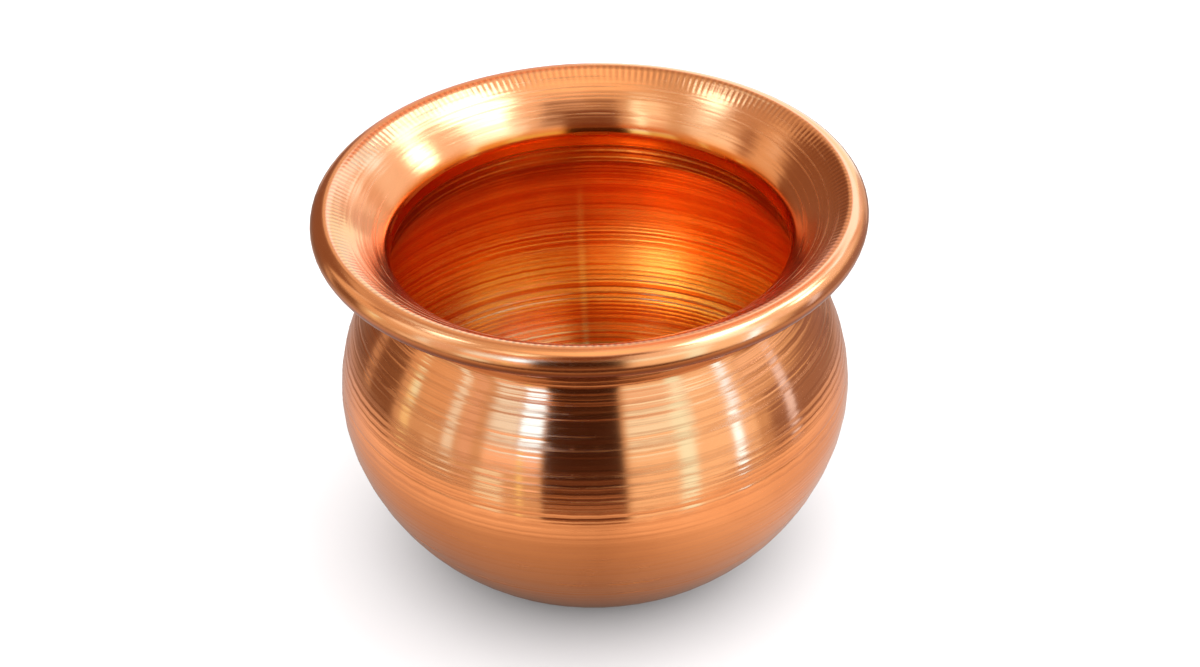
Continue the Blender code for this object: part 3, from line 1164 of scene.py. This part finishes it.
SURROUND = (
    Panel("below", (-200.0, 200.0), (-100.0, -28.0), (0.20, 0.13, 0.10), soft=6.0, fade=4.0),
    Panel("ceiling_left", (-200.0, 0.0), (60.0, 100.0), grey(0.75), soft=6.0, fade=6.0),
    Panel("ceiling_right", (0.0, 200.0), (60.0, 100.0), (1.0, 1.1, 1.3), soft=6.0, fade=6.0),
    Panel("ceiling_top", (-200.0, 200.0), (77.0, 100.0), grey(1.35), soft=6.0, fade=6.0),
    Panel("left_back", (-200.0, -58.0), (8.0, 45.0), grey(0.80, 0.05), soft=5.0, fade=4.0),
    Panel("left_back_high", (-200.0, -98.0), (45.0, 60.0), (0.60, 0.52, 0.50), soft=3.0, fade=4.0),
    Panel("left_back_top", (-150.0, -128.0), (54.0, 62.0), (1.0, 1.5, 2.2), soft=3.0, fade=2.0),
    Panel("right_back", (74.0, 152.0), (12.0, 62.0), (1.03, 1.17, 1.48), soft=4.0, fade=3.0),
    Panel("back_gap", (152.0, 200.0), (38.0, 62.0), (1.0, 0.66, 0.60), soft=3.0, fade=3.0),
    Panel("back_lamp", (141.0, 178.0), (24.0, 38.0), (1.6, 2.2, 3.8), soft=2.0, fade=2.0),
    Panel("back_low", (153.0, 181.0), (-12.0, 24.0), (1.2, 1.8, 2.2), soft=1.5, fade=2.5),
    Panel("back_low_left", (-181.0, -167.0), (-10.0, 24.0), (0.85, 0.75, 0.88), soft=1.5, fade=2.5),
    Panel("front_gap_high", (-23.0, 12.0), (27.0, 56.0), (0.34, 0.22, 0.18), soft=1.5, fade=3.0),
    Panel("front_gap", (-23.3, 11.3), (-40.0, 37.0), (0.050, 0.027, 0.022), soft=1.3, fade=3.0),
    Panel("front_gap_low", (-23.3, 11.3), (-40.0, 0.0), (0.12, 0.065, 0.05), soft=1.3, fade=6.0),
    Panel("front_glow", (-23.3, 11.3), (-24.0, -17.0), (0.50, 0.36, 0.30), soft=1.3, fade=5.0),
    Panel("front_top", (-25.0, 34.0), (44.0, 69.0), (0.18, 0.085, 0.06), soft=4.0, fade=4.0),
    Panel("left_high", (-52.0, -22.0), (36.0, 53.0), (0.80, 0.54, 0.45), soft=3.0, fade=2.0),
    Panel("left_glint", (-60.0, -34.0), (54.0, 67.0), (1.3, 1.75, 2.3), soft=3.0, fade=3.0),
    Panel("left_glint_core", (-42.0, -37.0), (53.0, 67.0), (1.8, 3.6, 5.6), soft=1.0, fade=2.0),
    Panel("left_bright", (-50.0, -36.0), (9.0, 31.0), (1.0, 1.85, 3.4), soft=2.5, fade=4.0),
    Panel("left_mid", (-50.0, -24.5), (-7.0, 8.0), (1.1, 1.12, 1.35), soft=1.5, fade=3.0),
    Panel("left_lamp", (-35.0, -24.8), (11.0, 33.0), (1.3, 3.6, 9.8), soft=0.8, fade=3.0),
    Panel("left_line", (-34.2, -32.0), (-22.0, 8.0), (1.05, 1.4, 1.1), soft=0.5, fade=3.0),
    Panel("left_low", (-53.0, -41.0), (-27.0, -10.0), (1.0, 1.65, 2.4), soft=2.0, fade=2.0),
    Panel("left_dim", (-62.0, -55.5), (-9.0, 32.0), (0.86, 0.88, 1.1), soft=2.0, fade=3.0),
    Panel("left_window", (-69.5, -64.5), (-12.0, 28.0), (1.0, 1.75, 3.0), soft=0.9, fade=3.0),
    Panel("left_window_low", (-79.0, -63.0), (-20.0, -6.0), (1.0, 1.25, 1.55), soft=2.0, fade=3.0),
    Panel("left_strip", (-93.5, -88.5), (-12.0, 12.0), (1.02, 1.35, 1.3), soft=1.0, fade=3.0),
    Panel("left_strip_top", (-92.0, -88.0), (4.0, 12.0), (1.0, 2.1, 3.2), soft=1.0, fade=2.0),
    Panel("left_dark", (-155.0, -98.5), (-20.0, 12.0), (0.24, 0.17, 0.14), soft=2.0, fade=3.0),
    Panel("left_dark_strip", (-123.0, -117.0), (-20.0, 6.0), grey(0.55, 0.1), soft=1.5, fade=3.0),
    Panel("right_wall", (13.5, 48.0), (-26.0, 26.0), (1.06, 1.25, 1.45), soft=1.5, fade=2.0),
    Panel("right_wall_top", (14.0, 46.0), (11.0, 27.0), (1.06, 1.85, 2.9), soft=1.5, fade=4.0),
    Panel("right_wall_strip", (35.0, 42.5), (-26.0, 28.0), (1.06, 2.15, 3.5), soft=2.0, fade=2.0),
    Panel("right_fill", (47.0, 73.0), (-26.0, 33.0), (1.08, 1.28, 1.5), soft=1.5, fade=3.0),
    Panel("right_lamp", (60.8, 65.2), (-26.0, 12.0), (1.4, 3.5, 8.6), soft=0.9, fade=2.0),
    Panel("right_lamp_top", (64.0, 69.0), (12.0, 30.0), (1.2, 2.7, 6.8), soft=1.2, fade=2.0),
    Panel("right_high", (15.0, 40.0), (27.0, 56.0), (1.0, 1.15, 1.45), soft=2.0, fade=2.0),
    Panel("right_high_side", (40.0, 76.0), (30.0, 56.0), (1.3, 2.3, 3.8), soft=3.0, fade=2.0),
    Panel("right_dark", (80.0, 140.0), (-30.0, 2.0), (0.36, 0.29, 0.31), soft=2.5, fade=3.0),
    Panel("right_strip", (90.5, 95.5), (-16.0, 12.0), (1.0, 1.5, 3.0), soft=0.9, fade=3.0),
    Panel("right_softbox", (60.5, 118.0), (54.0, 70.0), (4.4, 6.4, 11.0), soft=1.5, fade=2.5),
    Panel("right_softbox_front", (52.0, 82.0), (49.0, 56.0), (1.8, 3.0, 5.2), soft=2.0, fade=2.0),
    Panel("right_softbox_side", (113.0, 133.0), (44.0, 56.0), (3.4, 5.2, 9.5), soft=2.0, fade=2.0),
    Panel("right_spot", (98.0, 113.0), (33.0, 42.0), (7.0, 8.5, 13.5), soft=2.5, fade=2.0),
    Panel("right_spot_side", (129.0, 140.0), (33.0, 41.0), (1.1, 2.5, 5.0), soft=2.5, fade=2.0),
    Panel("right_back_patch", (131.0, 139.0), (8.0, 28.0), (0.86, 0.80, 0.85), soft=2.0, fade=3.0),
    Panel("right_back_low", (145.0, 153.0), (8.0, 18.0), (0.82, 0.82, 1.0), soft=2.0, fade=3.0),
    Panel("left_side", (-94.0, -68.0), (30.0, 46.0), (1.2, 1.6, 2.2), soft=2.5, fade=2.5),
    Panel("left_softbox", (-110.0, -96.0), (57.0, 66.0), (3.4, 6.0, 10.5), soft=1.5, fade=2.0),
    Panel("left_softbox_low", (-98.0, -82.0), (52.0, 59.0), (1.6, 2.8, 4.8), soft=2.5, fade=2.0),
    Panel("left_haze", (-84.0, -68.0), (47.0, 57.0), (1.0, 1.35, 1.9), soft=3.0, fade=3.0),
    Panel("left_beam", (-166.0, -123.0), (-4.0, 40.0), (0.27, 0.17, 0.13), soft=2.5, fade=2.5),
    Panel("left_beam_edge", (-122.0, -116.0), (32.0, 41.0), (0.97, 1.12, 1.4), soft=1.5, fade=2.0),
    Panel("left_post", (-108.0, -98.0), (34.0, 45.0), (0.32, 0.21, 0.18), soft=2.0, fade=2.0),
)


@dataclass
class Studio:
    """White sheet, soft surround and the camera at the photograph's angle."""

    surround_level: float = 0.72
    backdrop_level: float = 1.05
    dome_levels: Span = (1.35, 2.45)
    sheet: tuple[float, float, float, float] = (-0.23, 0.19, -0.122, 0.33)
    paper: Colour = (0.86, 0.815, 0.81)
    # Painted shade of the sheet as the copper mirrors it.
    mirrored_shade_near: Colour = (0.36, 0.30, 0.27)
    mirrored_far: Colour = (0.62, 0.58, 0.57)
    mirrored_shade_lost: Colour = (0.06, 0.05, 0.05)
    left_lift: Ramp = (-0.07, 0.0, 0.35, 0.0)
    right_lift: Ramp = (0.0, 0.05, 0.0, 0.85)
    right_drop: Ramp = (0.065, 0.1, 1.0, 0.3)
    far_lift: Ramp = (0.08, 0.13, 0.0, 1.0)
    back_drop: Ramp = (-0.02, 0.1, 1.0, 0.0)
    far_loss: Ramp = (0.12, 0.20, 0.0, 0.7)
    back_loss: Ramp = (0.03, 0.13, 0.0, 0.4)
    camera_distance: float = 660.0 * MM
    camera_elevation: float = 0.603508
    camera_roll: float = -0.033882
    target: tuple[float, float, float] = (1.345 * MM, 0.0, 48.377 * MM)
    focal_pixels: float = 3266.39
    image_width: int = 1200
    sensor_width: float = 36.0
    clip_start: float = 10.0 * MM
    bounces: int = 16
    glossy_bounces: int = 14

    def build(self) -> None:
        """Make the sheet, the light and the camera, and show colours as they are."""
        self.floor()
        self.light()
        self.camera()
        view = bpy.context.scene.view_settings
        view.view_transform = "Standard"
        view.look = "None"
        cycles = bpy.context.scene.cycles
        cycles.max_bounces = self.bounces
        cycles.glossy_bounces = self.glossy_bounces
        cycles.caustics_reflective = False

    def floor(self) -> None:
        """Lay a flat matt sheet under the pot."""
        left, right, near, far = self.sheet
        corners = np.array([[left, near, 0.0], [right, near, 0.0], [right, far, 0.0], [left, far, 0.0]])
        sheet = new_object("white_sheet", corners, [[0, 1, 2, 3]], np.zeros(1, dtype=np.int32))
        paper = bpy.data.materials.new("white_paper")
        paper.use_nodes = True
        tree = NodeTree(paper.node_tree)
        matt = tree.node("ShaderNodeBsdfDiffuse")
        path = tree.node("ShaderNodeLightPath")
        # Glossy rays see the sheet in a painted shade rather than the paper's own colour.
        seen = tree.mix(path.outputs["Is Glossy Ray"], self.paper, self.mirrored(tree))
        tree.link(seen, matt.inputs["Color"])
        tree.link(matt.outputs[0], tree.node("ShaderNodeOutputMaterial").inputs["Surface"])
        sheet.data.materials.append(paper)

    def mirrored(self, tree: NodeTree) -> Socket:
        """Painted shade on the sheet as the copper mirrors it: dark near the pot, lighter to the sides and
        away from it, then lost.

        Args:
            tree: Tree to add to.

        Returns:
            The colour.
        """
        place = tree.node("ShaderNodeTexCoord").outputs["Object"]
        distance = tree.node("ShaderNodeVectorMath", operation="LENGTH")
        tree.link(place, distance.inputs[0])
        span = distance.outputs["Value"]
        x, y, _ = tree.axes(place)
        right = tree.product(tree.ramp(x, *self.right_lift), tree.ramp(x, *self.right_drop))
        sides = tree.math("ADD", tree.ramp(x, *self.left_lift), right)
        reach = tree.math("ADD", tree.ramp(span, *self.far_lift), sides)
        reach = tree.product(reach, tree.ramp(y, *self.back_drop))
        lit = tree.mix(reach, self.mirrored_shade_near, self.mirrored_far)
        lost = tree.math("MAXIMUM", tree.ramp(span, *self.far_loss), tree.ramp(y, *self.back_loss))
        return tree.mix(lost, lit, self.mirrored_shade_lost)

    def light(self) -> None:
        """Paint the panels on the surround by direction.

        Matt surfaces are lit by a plain dome, and the camera itself sees plain white beyond the sheet.
        """
        world = bpy.data.worlds.new("studio")
        bpy.context.scene.world = world
        world.use_nodes = True
        world.cycles.sampling_method = "NONE"
        tree = NodeTree(world.node_tree)
        x, y, z = tree.axes(tree.node("ShaderNodeTexCoord").outputs["Generated"])
        azimuth = tree.math("DEGREES", tree.math("ARCTAN2", x, tree.product(y, -1.0)))
        elevation = tree.math("DEGREES", tree.math("ARCSINE", z))
        colour: object = grey(self.surround_level)
        for panel in SURROUND:
            across = self.window(tree, azimuth, panel.azimuth, panel.soft)
            up = self.window(tree, elevation, panel.elevation, panel.fade)
            colour = tree.mix(tree.product(across, up), colour, panel.radiance)
        path = tree.node("ShaderNodeLightPath")
        shade = self.background(tree, colour)
        dome = tree.ramp(x, -1.0, 1.0, *self.dome_levels)
        for ray, plain in (("Is Diffuse Ray", dome), ("Is Camera Ray", grey(self.backdrop_level))):
            either = tree.node("ShaderNodeMixShader")
            tree.link(path.outputs[ray], either.inputs[0])
            tree.link(shade, either.inputs[1])
            tree.link(self.background(tree, plain), either.inputs[2])
            shade = either.outputs[0]
        tree.link(shade, tree.node("ShaderNodeOutputWorld").inputs["Surface"])

    @staticmethod
    def background(tree: NodeTree, colour: object) -> Socket:
        """Add a Background node.

        Args:
            tree: Tree to add to.
            colour: Colour or socket.

        Returns:
            Its shader.
        """
        made = tree.node("ShaderNodeBackground")
        tree.feed(made.inputs["Color"], tree.rgba(colour))
        return made.outputs[0]

    @staticmethod
    def window(tree: NodeTree, value: Socket, span: Span, soft: float) -> Socket:
        """1 inside a span and 0 outside it, with soft ends.

        Args:
            tree: Tree to add to.
            value: Angle to test.
            span: Lowest and highest angle.
            soft: Half the width of each soft end.

        Returns:
            The window's value.
        """
        low, high = span
        rise = tree.ramp(value, low - soft, low + soft, smooth=True)
        fall = tree.ramp(value, high - soft, high + soft, 1.0, 0.0, smooth=True)
        return tree.product(rise, fall)

    def camera(self) -> None:
        """Stand the camera on the fitted line of sight, with its roll."""
        back = Vector((0.0, -math.cos(self.camera_elevation), math.sin(self.camera_elevation)))
        right = Vector((1.0, 0.0, 0.0))
        up = back.cross(right)
        turn = Matrix.Rotation(self.camera_roll, 3, back)
        axes = Matrix((turn @ right, turn @ up, back)).transposed()
        data = bpy.data.cameras.new("camera")
        data.sensor_width = self.sensor_width
        data.lens = self.focal_pixels / self.image_width * self.sensor_width
        data.clip_start = self.clip_start
        camera = bpy.data.objects.new("camera", data)
        stand = Matrix.Translation(Vector(self.target) + self.camera_distance * back)
        camera.matrix_world = stand @ axes.to_4x4()
        bpy.context.scene.collection.objects.link(camera)
        bpy.context.scene.camera = camera


def plain(box: tuple) -> list[list[float]]:
    """A box as plain lists of numbers."""
    return [[float(value) for value in corner] for corner in box]


def main() -> None:
    """Build the pieces in order, then the studio, and log the sizes read from the boxes."""
    logging.basicConfig(level=logging.INFO, format="%(name)s %(message)s")
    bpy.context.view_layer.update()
    lota = Lota.from_frame()
    LOG.info("rim radius %.4f, height %.4f, belly radius %.4f",
             lota.rim_radius, lota.height, lota.belly_radius)
    for part in (Bowl(lota), FlaredMouth(lota), RimWire(lota), BrazeRing(lota)):
        part.build()
    Studio().build()


if __name__ == "__main__":
    main()
